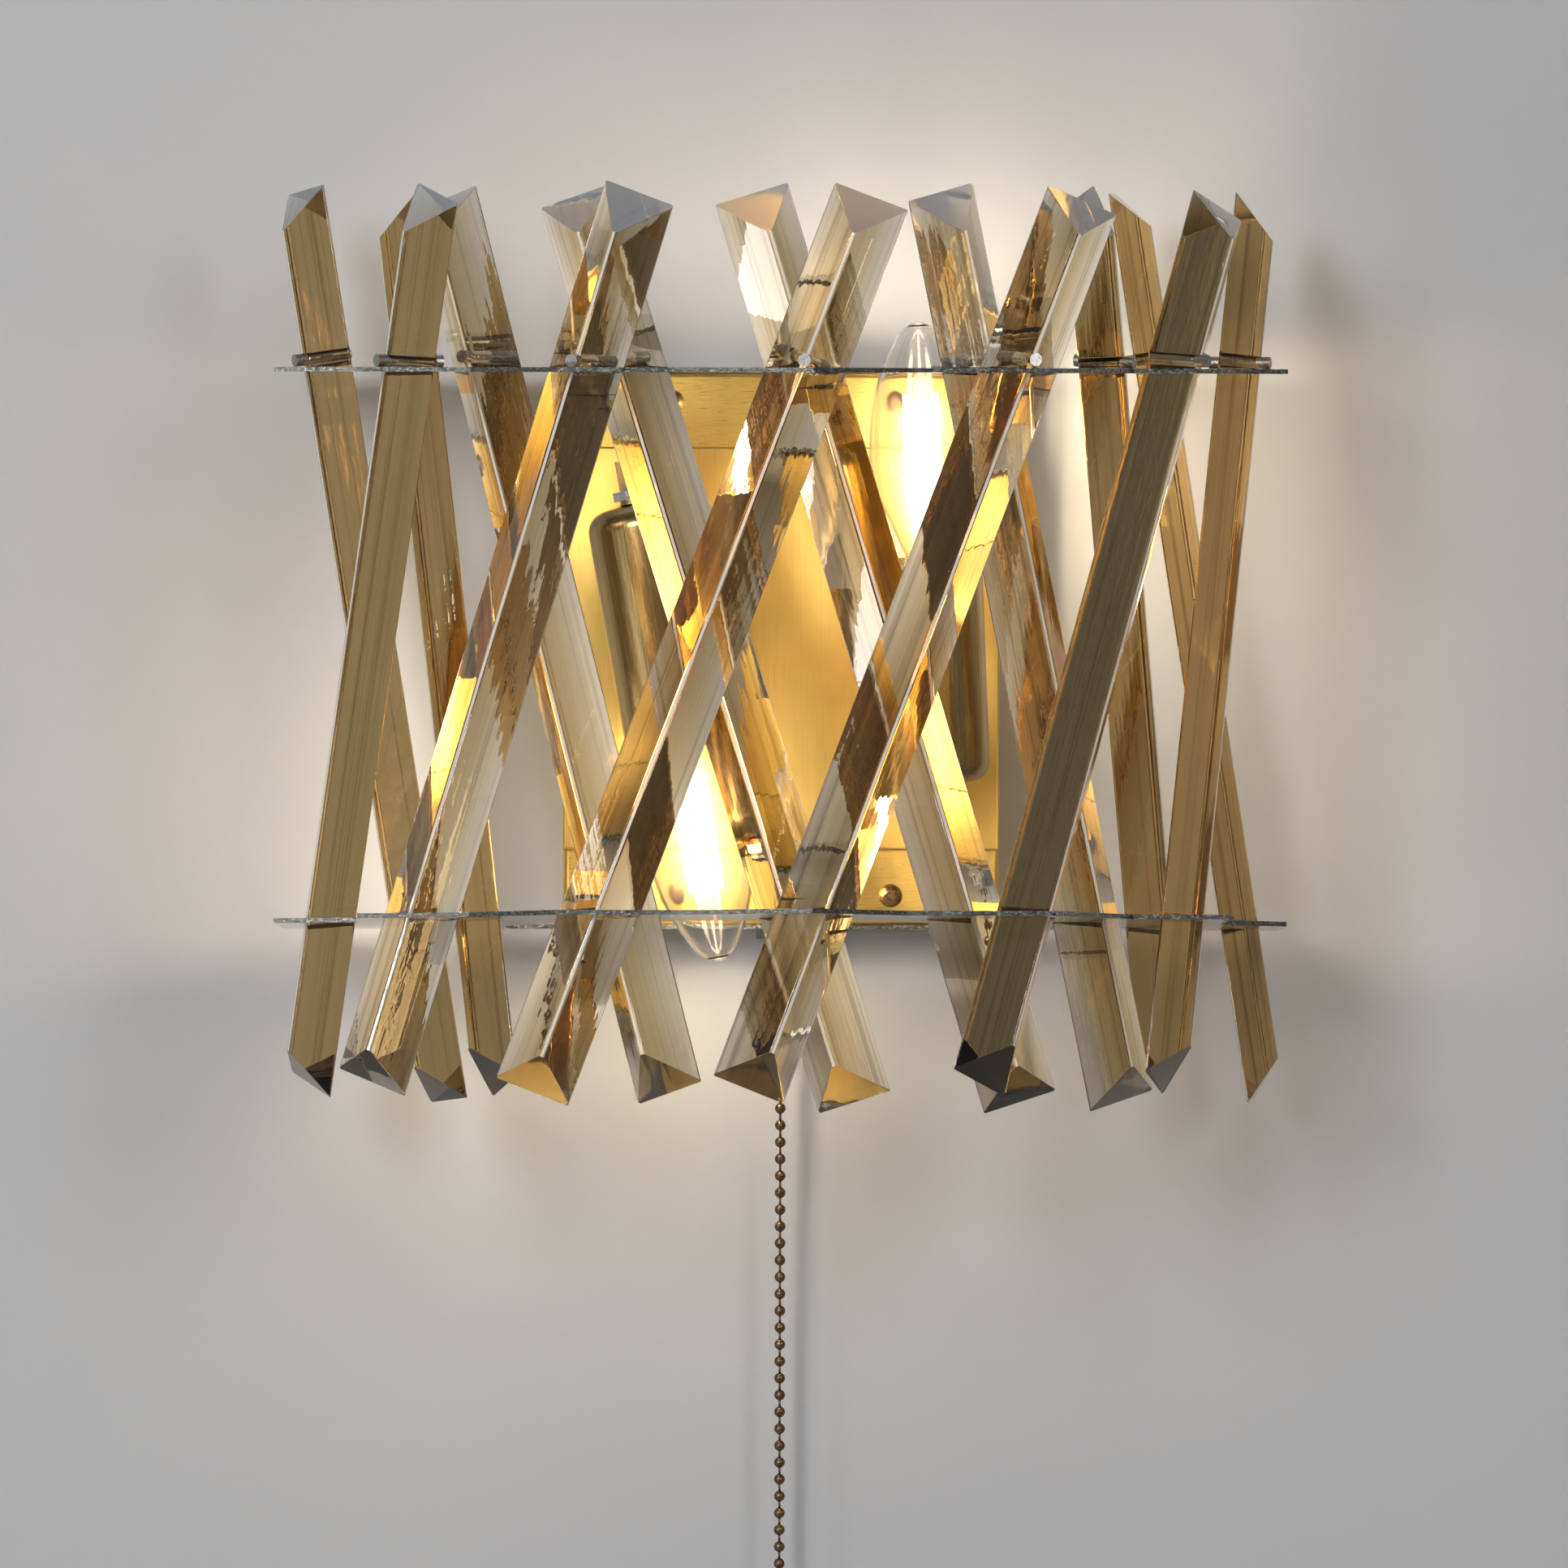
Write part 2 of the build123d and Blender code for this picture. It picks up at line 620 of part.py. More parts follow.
for lamp_name, lamp in LAMPS.items():
    with BuildPart() as holder:
        add(turned(lamp, holder_section()))
    save(holder, f"{lamp_name}_holder")

    with BuildPart() as lamp_bracket:
        add(lamp_arm(lamp))
    save(lamp_bracket, f"{lamp_name}_lamp_bracket")

    with BuildPart() as bulb_cap:
        add(turned(lamp, bulb_cap_section()))
    save(bulb_cap, f"{lamp_name}_bulb_cap")

    with BuildPart() as bulb_glass:
        with BuildSketch(lamp_profile(lamp)):
            add(glass_section(0))
            add(glass_section(GLASS_WALL), mode=Mode.SUBTRACT)
        revolve(axis=Axis(lamp.end, lamp.along))
    save(bulb_glass, f"{lamp_name}_bulb_glass")

    with BuildPart() as filament:
        add(turned(lamp, tube_section(0, STEM_RADIUS, GLASS_START, STEM_TOP)))
        with BuildSketch(lamp_level(lamp, STEM_TOP)):
            Circle(FILAMENT_OFFSET + FILAMENT_RADIUS + FILAMENT_DISC_EDGE)
        extrude(amount=FILAMENT_DISC)
        with BuildSketch(lamp_level(lamp, STEM_TOP)):
            with PolarLocations(FILAMENT_OFFSET, FILAMENT_COUNT):
                Circle(FILAMENT_RADIUS)
        extrude(amount=FILAMENT_TOP - STEM_TOP)
    save(filament, f"{lamp_name}_bulb_filament")

with BuildPart() as contact_sleeves:
    for lamp in LAMPS.values():
        sleeve_bore = CAP_RADIUS + CAP_FIT
        add(turned(lamp, tube_section(sleeve_bore, sleeve_bore + SLEEVE_WALL, HOLDER_FLOOR, HOLDER_MOUTH)))
save(contact_sleeves, "contact_sleeves")

with BuildPart() as lamp_nipples:
    for lamp in LAMPS.values():
        nipple_end = HOLDER_START + NIPPLE_IN_HOLDER
        add(turned(lamp, tube_section(NIPPLE_BORE, NIPPLE_RADIUS, NUT_BACK - NIPPLE_PAST_NUT, nipple_end)))
save(lamp_nipples, "lamp_nipples")

with BuildPart() as lamp_nuts:
    for lamp in LAMPS.values():
        with BuildSketch(lamp_level(lamp, ARM_BACK)):
            RegularPolygon(NUT_RADIUS, 6)
            Circle(NIPPLE_RADIUS + SCREW_FIT, mode=Mode.SUBTRACT)
        extrude(amount=-NUT_THICKNESS)
save(lamp_nuts, "lamp_nuts")

FOOT_SCREW_REACH = ARM_SHEET + PANEL_THICKNESS + PAN_SHEET + FOOT_SCREW_PAST_PAN
with BuildPart() as lamp_bracket_screws:
    for lamp in LAMPS.values():
        add(
            domed_screw(
                foot_screw_seat(lamp), FOOT_SCREW_RADIUS, FOOT_SCREW_HEAD, FOOT_SCREW_DOME, FOOT_SCREW_REACH
            )
        )
save(lamp_bracket_screws, "lamp_bracket_screws")

LEAD_START = LAMP_STANDOFF - HOLDER_RADIUS
with BuildPart() as lamp_leads:
    for lamp in LAMPS.values():
        with BuildSketch(lead_plane(lamp, -LEAD_START)):
            Circle(LEAD_RADIUS)
        extrude(amount=-(LEAD_START + PAN_FACE + PAN_SHEET + LEAD_INSIDE_PAN))
save(lamp_leads, "lamp_leads")

# ---------------------------------------------------------------- back pan, lamp panel, wall bracket
RETURN_FACE = PLATE_THICKNESS / 2  # pan's returns lie against the plates' inner faces


def pan_block():
    """Solid outer form of the pan: wedge-shaped from the side, so that its returns follow the plates."""
    wall_z = deck_z(0, RETURN_FACE)
    front_z = deck_z(PAN_DEPTH, RETURN_FACE)
    with BuildPart() as block:
        with BuildSketch(Plane.YZ):
            with BuildLine():
                Polyline((0, wall_z), (PAN_FACE, front_z), (PAN_FACE, -front_z), (0, -wall_z), close=True)
            make_face()
        extrude(amount=PAN_WIDTH / 2, both=True)
        fillet(block.faces().sort_by(Axis.Y)[0].edges(), PAN_CORNER)
    return block.part


def return_cutter(seats, radius):
    """Round cutters through the pan's returns, under the plates' screws."""
    with BuildPart() as cutter:
        for seat in seats:
            with BuildSketch(seat):
                Circle(radius)
            extrude(amount=-DECK_SCREW_REACH)
    return cutter.part


def upright_cylinder(radius, low, high):
    """Cylinder on the pull switch's axis between two heights."""
    with BuildPart() as cylinder:
        with BuildSketch(Plane(origin=(0, -SWITCH_Y, low), z_dir=(0, 0, 1))):
            Circle(radius)
        extrude(amount=high - low)
    return cylinder.part


RETURN_UNDER = -deck_z(SWITCH_Y, RETURN_FACE)  # pan's lower return at the switch, outer face
SWITCH_FOOT = RETURN_UNDER + PAN_SHEET + SWITCH_GAP
NUT_SEAT = -deck_z(SWITCH_Y, -RETURN_FACE)
NOZZLE_MOUTH = NUT_SEAT - NUT_THICKNESS - NOZZLE_PAST_NUT
FOOT_SEATS = [foot_screw_seat(lamp) for lamp in LAMPS.values()]
LEAD_HOLES = [lead_plane(lamp, PANEL_FACE) for lamp in LAMPS.values()]

with BuildPart() as back_pan:
    add(pan_block())
    offset(amount=-PAN_SHEET, openings=back_pan.faces().sort_by(Axis.Y)[-1])
    add(panel_cutter(PAN_SCREW_SEATS, PAN_SCREW_RADIUS + SCREW_FIT), mode=Mode.SUBTRACT)
    add(panel_cutter(FOOT_SEATS, FOOT_SCREW_RADIUS + SCREW_FIT), mode=Mode.SUBTRACT)
    add(panel_cutter(LEAD_HOLES, LEAD_RADIUS + LEAD_FIT), mode=Mode.SUBTRACT)
    add(return_cutter(DECK_SCREW_SEATS, DECK_SCREW_RADIUS + SCREW_FIT), mode=Mode.SUBTRACT)
    add(upright_cylinder(NOZZLE_RADIUS + NOZZLE_FIT, NUT_SEAT, SWITCH_FOOT), mode=Mode.SUBTRACT)
save(back_pan, "back_pan")

with BuildPart() as lamp_panel:
    with BuildSketch(facing_out(0, PAN_FACE, 0)):
        Rectangle(PAN_WIDTH, 2 * (DECK_HEIGHT - PANEL_BAND))
    extrude(amount=PANEL_THICKNESS)
    fillet(lamp_panel.faces().sort_by(Axis.Y)[0].edges(), PANEL_EDGE)
    add(panel_cutter(FOOT_SEATS, FOOT_SCREW_RADIUS + SCREW_FIT), mode=Mode.SUBTRACT)
    add(panel_cutter(LEAD_HOLES, LEAD_RADIUS + LEAD_FIT), mode=Mode.SUBTRACT)
save(lamp_panel, "lamp_panel")

BRACKET_HEIGHT = 2 * (deck_z(PAN_DEPTH, RETURN_FACE) - PAN_SHEET - BRACKET_GAP)
BRACKET_DEPTH = PAN_DEPTH - PAN_SHEET


def bracket_section():
    """Side view of the wall bracket: leg on the wall, flanges and the lips that take the pan's screws."""
    inner_round = BRACKET_ROUND - BRACKET_SHEET
    with BuildSketch() as section:
        with Locations((-BRACKET_DEPTH / 2, 0)):
            Rectangle(BRACKET_DEPTH, BRACKET_HEIGHT)
            fillet(section.vertices(), BRACKET_ROUND)
            RectangleRounded(
                BRACKET_DEPTH - 2 * BRACKET_SHEET,
                BRACKET_HEIGHT - 2 * BRACKET_SHEET,
                inner_round,
                mode=Mode.SUBTRACT,
            )
        with Locations((-BRACKET_DEPTH, 0)):
            Rectangle(BRACKET_DEPTH, BRACKET_HEIGHT - 2 * BRACKET_LIP, mode=Mode.SUBTRACT)
    return section.sketch


with BuildPart() as wall_bracket:
    with BuildSketch(Plane.YZ):
        add(bracket_section())
    extrude(amount=BRACKET_WIDTH / 2, both=True)
    with BuildSketch(facing_out(0, -BRACKET_SHEET, 0)):
        Rectangle(BRACKET_NOTCH, 2 * BRACKET_HEIGHT)
    extrude(amount=BRACKET_DEPTH, mode=Mode.SUBTRACT)
    with BuildSketch(facing_out(0, 0, 0)):
        RectangleRounded(BRACKET_WINDOW_WIDTH, BRACKET_WINDOW_HEIGHT, BRACKET_ROUND)
        with Locations((-WALL_HOLE_SPACING / 2, 0), (WALL_HOLE_SPACING / 2, 0)):
            Circle(WALL_HOLE_RADIUS)
        with Locations((0, ENTRY_HEIGHT)):
            Circle(ENTRY_RADIUS)
    extrude(amount=BRACKET_SHEET, mode=Mode.SUBTRACT)
    add(panel_cutter(PAN_SCREW_SEATS, PAN_SCREW_RADIUS + SCREW_FIT), mode=Mode.SUBTRACT)
save(wall_bracket, "wall_bracket")

with BuildPart() as terminal_block:
    with BuildSketch(facing_out(TERMINAL_X, -BRACKET_SHEET, TERMINAL_Z)):
        Rectangle(TERMINAL_WIDTH, TERMINAL_HEIGHT)
    extrude(amount=TERMINAL_DEPTH)
    chamfer(terminal_block.faces().sort_by(Axis.Y)[0].edges(), TERMINAL_EDGE)
    with BuildSketch(Plane.XY.offset(TERMINAL_Z)):
        with Locations((TERMINAL_X, -BRACKET_SHEET - TERMINAL_DEPTH / 2)):
            with GridLocations(TERMINAL_PITCH, 0, TERMINAL_WAYS, 1):
                Circle(TERMINAL_BORE)
    extrude(amount=TERMINAL_HEIGHT, both=True, mode=Mode.SUBTRACT)
save(terminal_block, "terminal_block")

# ---------------------------------------------------------------- pull switch and bead chain
with BuildPart() as switch_body:
    with BuildSketch(Plane(origin=(0, -SWITCH_Y, SWITCH_FOOT), z_dir=(0, 0, 1))):
        Rectangle(SWITCH_WIDTH, SWITCH_DEPTH)
    extrude(amount=SWITCH_HEIGHT)
    chamfer(switch_body.edges().filter_by(Axis.Z), SWITCH_EDGE)
    plunger_room = SWITCH_FOOT + PLUNGER_TOP + SWITCH_GAP
    add(upright_cylinder(NOZZLE_BORE, SWITCH_FOOT, plunger_room), mode=Mode.SUBTRACT)
    add(upright_cylinder(NOZZLE_RADIUS, SWITCH_FOOT, SWITCH_FOOT + NOZZLE_IN_SWITCH), mode=Mode.SUBTRACT)
save(switch_body, "switch_body")

with BuildPart() as switch_nozzle:
    add(upright_cylinder(NOZZLE_RADIUS, NOZZLE_MOUTH, SWITCH_FOOT + NOZZLE_IN_SWITCH))
    add(upright_cylinder(NOZZLE_BORE, NOZZLE_MOUTH, SWITCH_FOOT + NOZZLE_IN_SWITCH), mode=Mode.SUBTRACT)
save(switch_nozzle, "switch_nozzle")

with BuildPart() as switch_nut:
    with BuildSketch(UNDER_DECK.offset(-PLATE_THICKNESS / 2)):
        with Locations((0, -SWITCH_Y / cos(TILT))):
            RegularPolygon(NUT_RADIUS, 6)
    extrude(amount=-NUT_THICKNESS)
    add(
        upright_cylinder(NOZZLE_RADIUS + NOZZLE_FIT, NUT_SEAT - 2 * NUT_THICKNESS, SWITCH_FOOT),
        mode=Mode.SUBTRACT,
    )
save(switch_nut, "switch_nut")

with BuildPart() as switch_plunger:
    add(upright_cylinder(NOZZLE_BORE - PLUNGER_FIT, NOZZLE_MOUTH, SWITCH_FOOT + PLUNGER_TOP))
save(switch_plunger, "switch_plunger")


def bead_levels():
    """Radii and heights down the bead chain: a link, then a bead, again and again."""
    levels = [(LINK_RADIUS, 0)]
    for bead in range(BEAD_COUNT):
        middle = -BEAD_PITCH * (bead + 0.5)
        levels += [
            (LINK_RADIUS, middle + BEAD_RADIUS),
            (BEAD_RADIUS, middle + BEAD_FLAT),
            (BEAD_RADIUS, middle - BEAD_FLAT),
            (LINK_RADIUS, middle - BEAD_RADIUS),
        ]
    return levels + [(LINK_RADIUS, -BEAD_PITCH * BEAD_COUNT)]


with BuildPart() as pull_chain:
    for bead_radius, level in bead_levels():
        with BuildSketch(Plane(origin=(0, -SWITCH_Y, NOZZLE_MOUTH + level), z_dir=(0, 0, 1))):
            RegularPolygon(bead_radius, BEAD_SIDES)
    loft(ruled=True)
save(pull_chain, "pull_chain")

KNOB_TOP = NOZZLE_MOUTH - BEAD_PITCH * BEAD_COUNT
with BuildPart() as chain_knob:
    with BuildSketch(Plane(origin=(0, -SWITCH_Y, KNOB_TOP), x_dir=(1, 0, 0), z_dir=(0, -1, 0))):
        with BuildLine():
            flank = Polyline((0, 0), (KNOB_NECK, 0), (KNOB_RADIUS, -KNOB_WIDEST))
            crown = TangentArc((0, -KNOB_LENGTH), flank @ 1, tangent=(1, 0))
            Line(crown @ 0, flank @ 0)
        make_face()
    revolve(axis=Axis((0, -SWITCH_Y, 0), (0, 0, 1)))
save(chain_knob, "chain_knob")
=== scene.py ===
"""Crystal wall sconce: looks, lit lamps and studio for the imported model, in metres and in its frame."""

import json
import math

import bmesh
import bpy
from mathutils import Matrix, Vector


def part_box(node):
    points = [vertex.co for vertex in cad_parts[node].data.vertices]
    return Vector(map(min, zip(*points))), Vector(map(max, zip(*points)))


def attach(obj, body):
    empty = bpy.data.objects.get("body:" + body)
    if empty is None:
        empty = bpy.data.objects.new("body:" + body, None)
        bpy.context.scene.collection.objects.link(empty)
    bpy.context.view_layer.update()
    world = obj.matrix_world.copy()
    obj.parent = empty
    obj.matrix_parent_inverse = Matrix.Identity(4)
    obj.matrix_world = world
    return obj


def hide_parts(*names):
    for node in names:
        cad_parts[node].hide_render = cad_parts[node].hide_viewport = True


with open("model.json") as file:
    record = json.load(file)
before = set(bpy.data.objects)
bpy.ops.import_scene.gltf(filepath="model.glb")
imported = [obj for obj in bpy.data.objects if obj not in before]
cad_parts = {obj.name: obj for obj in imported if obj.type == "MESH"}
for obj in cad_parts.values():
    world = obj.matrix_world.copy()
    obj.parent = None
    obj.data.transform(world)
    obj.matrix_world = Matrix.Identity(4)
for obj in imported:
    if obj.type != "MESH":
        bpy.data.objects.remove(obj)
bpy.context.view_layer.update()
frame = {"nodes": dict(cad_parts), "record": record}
scene = bpy.context.scene

# ---------------------------------------------------------------- sizes shared with the solids
LAMP_STANDOFF = 0.058  # from the wall to the lamps' axes
LAMPS = {  # x and z of the cup's domed end, lean in degrees, and which way the bulb points
    "left": ((-0.0464, 0.0474), 10.0, -1),
    "right": ((0.0501, -0.0457), 2.3, 1),
}
GLASS_NECK = 0.0063
GLASS_START = 0.064
GLASS_WALL = 0.0009
GLASS_PROFILE = (  # radius and distance from the cup's domed end
    (0.0063, 0.0740),
    (0.0116, 0.0870),
    (0.0162, 0.0980),
    (0.0175, 0.1100),
    (0.0157, 0.1260),
    (0.0119, 0.1381),
    (0.0071, 0.1474),
    (0.0038, 0.1503),
)
GLASS_NOSE = (0.0017, 0.15145)  # the last ring before the tip
GLASS_NOSE_INSIDE = (0.0016, 0.15015)
GLASS_TIP = 0.1518
BEAD_RADIUS = 0.0018
BEAD_PITCH = 0.00555
BEAD_COUNT = 40
LINK_RADIUS = 0.00045

# ---------------------------------------------------------------- sizes of the finer shapes
GLASS_CURVE_STEPS = 5
GLASS_SEGMENTS = 64
HAZE_START, HAZE_END = 0.078, 0.09  # heights, up or down, between which the bulbs' haze ends
WELD = 0.00001  # points nearer than this are one
FLAT_ANGLE = math.radians(0.3)  # faces that meet at less are one flat
CRYSTAL_BEVEL = 0.00028
CREST_BEVEL = 0.00033  # leaves a ground line of about 0.8 mm along the crystals' ridge, painted pale partly as a highlight
CREST_ANGLES = (0.6, 0.9)  # radians between a facet and the narrow flat along the ridge
CREST_LENGTH = 0.02  # the ridge's edges are longer than this
CORNER_ANGLE = 0.95  # radians from which a corner is rounded
CORNER_LENGTH = 0.0004  # shorter edges stay sharp
END_SLANT = 0.4  # an end face looks along the crystal by more than this share
ARRIS_ROUGHNESS = (0.08, 0.16)  # the crystals' rounded corners are finely ground
MOUTH_SHARE = 0.36  # radius of a bead's mouth, of the bead's
LIP_SHARE = 0.8  # how far out the mouth's bottom lies, of the bead's radius
BEAD_STEPS = 12
BEAD_SEGMENTS = 20
LINK_SEGMENTS = 10
LINK_WAIST = 0.8
LINK_SINK = 0.0014  # how far a link's end stays short of the middle between two links

# ---------------------------------------------------------------- camera
CAMERA_PLACE = (0.00094, -3.344, -0.0444)
CAMERA_ROLL = 0.0025

camera = bpy.data.objects.new("camera", bpy.data.cameras.new("camera"))
scene.collection.objects.link(camera)
camera.data.sensor_width = 36.0
camera.data.lens = 232.2
level = Matrix.Rotation(math.radians(90), 4, "X")
camera.matrix_world = Matrix.Translation(CAMERA_PLACE) @ level @ Matrix.Rotation(CAMERA_ROLL, 4, "Z")
scene.camera = camera


# ---------------------------------------------------------------- node helpers
def add_node(tree, kind, values=None, **settings):
    """A new node with its settings made and its inputs set or linked."""
    made = tree.nodes.new(kind)
    for key, value in settings.items():
        setattr(made, key, value)
    for key, value in (values or {}).items():
        if isinstance(value, bpy.types.NodeSocket):
            tree.links.new(value, made.inputs[key])
        else:
            made.inputs[key].default_value = value
    return made


def new_material(name, **values):
    """A material with its Principled shader's own values set; underscores in the names stand for spaces."""
    material = bpy.data.materials.new(name)
    material.use_nodes = True
    shader = material.node_tree.nodes["Principled BSDF"]
    for key, value in values.items():
        shader.inputs[key.replace("_", " ")].default_value = value
    return material, material.node_tree, shader


def drive(shader, **sockets):
    """Links sockets to a shader's inputs; underscores in the names stand for spaces."""
    for key, socket in sockets.items():
        shader.id_data.links.new(socket, shader.inputs[key.replace("_", " ")])


def object_coords(tree, cell=(1, 1, 1), turn=(0, 0, 0), place=None):
    """Coordinates on the piece, turned first and then divided into cells of the given size."""
    place = place or add_node(tree, "ShaderNodeTexCoord").outputs["Object"]
    values = {"Vector": place, "Rotation": turn, "Scale": cell}
    return add_node(tree, "ShaderNodeMapping", values, vector_type="TEXTURE").outputs[0]


def noise(tree, cell, detail=3.0, roughness=0.5, turn=(0, 0, 0), place=None):
    """Smooth noise from 0 to 1, in cells of one size or of a size for each direction."""
    cell = cell if isinstance(cell, tuple) else (cell, cell, cell)
    vector = object_coords(tree, cell, turn, place)
    values = {"Vector": vector, "Scale": 1.0, "Detail": detail, "Roughness": roughness}
    return add_node(tree, "ShaderNodeTexNoise", values).outputs[0]


def attribute(tree, name, output="Fac"):
    """A value that the piece's mesh carries."""
    return add_node(tree, "ShaderNodeAttribute", attribute_name=name).outputs[output]


def ramp(tree, factor, stops):
    """Colour ramp: (place, colour) pairs."""
    made = add_node(tree, "ShaderNodeValToRGB", {0: factor})
    while len(made.color_ramp.elements) < len(stops):
        made.color_ramp.elements.new(0.5)
    for element, (place, colour) in zip(made.color_ramp.elements, stops):
        element.position = place
        element.color = (*colour, 1)
    return made.outputs[0]


def remap(tree, factor, low, high, start=0.3, stop=0.7):
    """A factor's middle range mapped to a low and a high value."""
    values = {"Value": factor, "From Min": start, "From Max": stop, "To Min": low, "To Max": high}
    return add_node(tree, "ShaderNodeMapRange", values).outputs[0]


def mix_value(tree, factor, a, b):
    """Two values mixed by a factor."""
    return add_node(tree, "ShaderNodeMix", {0: factor, 2: a, 3: b}).outputs[0]


def mix_colour(tree, factor, a, b):
    """Two colours mixed by a factor."""
    return add_node(tree, "ShaderNodeMix", {0: factor, 6: a, 7: b}, data_type="RGBA").outputs[2]


def maths(tree, operation, *values):
    """One sum on values or sockets."""
    return add_node(tree, "ShaderNodeMath", dict(enumerate(values)), operation=operation).outputs[0]


def bump(tree, height, distance, strength=1.0, normal=None):
    """Small relief from a height."""
    values = {"Height": height, "Distance": distance, "Strength": strength}
    if normal is not None:
        values["Normal"] = normal
    return add_node(tree, "ShaderNodeBump", values).outputs[0]


def upright(tree, vector):
    """How far a vector points up or down."""
    return maths(tree, "ABSOLUTE", add_node(tree, "ShaderNodeSeparateXYZ", {0: vector}).outputs["Z"])


def clear_where(material, factor, tint=(1, 1, 1)):
    """Lets light straight through a material, tinted, where a factor is 1."""
    tree = material.node_tree
    clear = add_node(tree, "ShaderNodeBsdfTransparent", {"Color": (*tint, 1)})
    values = {0: factor, 1: tree.nodes["Principled BSDF"].outputs[0], 2: clear.outputs[0]}
    mixed = add_node(tree, "ShaderNodeMixShader", values)
    tree.links.new(mixed.outputs[0], tree.nodes["Material Output"].inputs["Surface"])


def shadow_ray(tree):
    """1 for the rays that ask whether a lamp is seen, so that glass doesn't stop them."""
    return add_node(tree, "ShaderNodeLightPath").outputs["Is Shadow Ray"]


# ---------------------------------------------------------------- materials
def crystal_material():
    """Smoky amber crystal: uneven faces with drawn lines, a ground crest whose pale colour is partly a
    painted highlight, feet painted dark as shade and heads painted pale as light.
    """
    material, tree, shader = new_material(
        "smoky_crystal",
        Base_Color=(0.97, 0.95, 0.92, 1),
        IOR=1.53,
        Transmission_Weight=1.0,
        Specular_IOR_Level=0.8,
    )
    place = attribute(tree, "prism", "Vector")
    slow = noise(tree, (0.02, 0.02, 0.05), detail=1.0, place=place)
    quick = noise(tree, (0.0025, 0.0025, 0.005), detail=2.0, place=place)
    drawn = noise(tree, (0.0042, 0.0042, 0.3), detail=2.0, roughness=0.4, place=place)
    swell = bump(tree, drawn, 0.00006, normal=bump(tree, slow, 0.0001))
    scratches = noise(tree, (0.0006, 0.0006, 0.06), detail=4.0, place=place)
    polished = remap(tree, scratches, 0.0, 0.02, 0.55, 0.8)
    ground = remap(tree, quick, *ARRIS_ROUGHNESS)
    lines = noise(tree, (0.0026, 0.0026, 0.7), detail=4.0, roughness=0.7, place=place)
    streak, body, bright = (0.5, 0.45, 0.39), (0.94, 0.92, 0.89), (1.0, 0.985, 0.96)
    tone = ramp(tree, lines, ((0.37, streak), (0.46, body), (0.6, bright)))
    crest, painted_dark_foot, painted_pale_head = [attribute(tree, mark) for mark in ("crest", "painted_dark_foot", "painted_pale_head")]
    # Painted light: the top end faces are tinted pale blue-grey and let less through, for their lit grey
    # look.
    tone = mix_colour(tree, painted_pale_head, tone, (0.62, 0.67, 0.74, 1))
    # Painted shade: the bottom end faces are painted near black.
    tone = mix_colour(tree, painted_dark_foot, tone, (0.03, 0.03, 0.03, 1))
    drive(
        shader,
        Normal=bump(tree, quick, 0.000018, normal=swell),
        Roughness=mix_value(tree, attribute(tree, "arris"), polished, ground),
        # Painted highlight: the crest's ground line is made pale, partly to stand in for the ridge's bright
        # line of light.
        Base_Color=mix_colour(tree, crest, tone, (0.95, 0.94, 0.92, 1)),
        # The heads let less through, for their painted light, and the crest little, for its painted
        # highlight.
        Transmission_Weight=mix_value(tree, crest, remap(tree, painted_pale_head, 1.0, 0.68, 0.0, 1.0), 0.35),
    )
    smoke = add_node(tree, "ShaderNodeVolumeAbsorption", {"Color": (0.71, 0.53, 0.11, 1), "Density": 108.0})
    tree.links.new(smoke.outputs[0], tree.nodes["Material Output"].inputs["Volume"])
    clear_where(material, shadow_ray(tree), (0.7, 0.69, 0.68))
    return material


def bulb_glass_material():
    """Bulb glass with faint waves, clear at its tip and hazy over the filament, where it glows."""
    material, tree, shader = new_material(
        "bulb_glass",
        Base_Color=(1.0, 0.99, 0.97, 1),
        IOR=1.47,
        Transmission_Weight=1.0,
    )
    waves = noise(tree, 0.012, detail=1.0)
    haze = noise(tree, 0.004)
    past_haze = remap(tree, upright(tree, object_coords(tree)), 0.0, 1.0, HAZE_START, HAZE_END)
    hazy = remap(tree, haze, 0.1, 0.13, 0.3, 0.8)
    clear = remap(tree, haze, 0.0, 0.02, 0.5, 0.8)
    drive(shader, Normal=bump(tree, waves, 0.00003), Roughness=mix_value(tree, past_haze, hazy, clear))
    clear_where(material, shadow_ray(tree), (0.98, 0.98, 0.97))
    return material


def filament_material():
    """Lit filament rods, hotter in places."""
    material, tree, shader = new_material(
        "lit_filament",
        Base_Color=(0.95, 0.8, 0.45, 1),
        Roughness=0.5,
        Emission_Strength=185.0,
    )
    grain = noise(tree, 0.002, detail=2.0)
    drive(shader, Emission_Color=ramp(tree, grain, ((0.3, (1.0, 0.79, 0.53)), (0.7, (1.0, 0.86, 0.66)))))
    return material


def plate_material():
    """Polished steel sheet whose cut edges are dark and uneven."""
    material, tree, shader = new_material("plate_steel", Metallic=1.0)
    flat = upright(tree, add_node(tree, "ShaderNodeNewGeometry").outputs["Normal"])
    edge = remap(tree, flat, 1.0, 0.0, 0.4, 0.6)
    rolled = noise(tree, (0.08, 0.0008, 0.01), detail=4.0)
    cut = noise(tree, (0.0012, 0.0012, 0.0005), detail=4.0, roughness=0.7)
    sheet = ramp(tree, rolled, ((0.3, (0.55, 0.54, 0.51)), (0.7, (0.66, 0.65, 0.62))))
    sawn = ramp(tree, cut, ((0.4, (0.1, 0.1, 0.09)), (0.7, (0.5, 0.5, 0.46))))
    polish = remap(tree, rolled, 0.08, 0.2)
    relief = maths(tree, "MULTIPLY", cut, edge)
    drive(
        shader,
        Base_Color=mix_colour(tree, edge, sheet, sawn),
        Roughness=mix_value(tree, edge, polish, remap(tree, cut, 0.14, 0.3)),
        Normal=bump(tree, relief, 0.0001, normal=bump(tree, rolled, 0.00001)),
    )
    return material


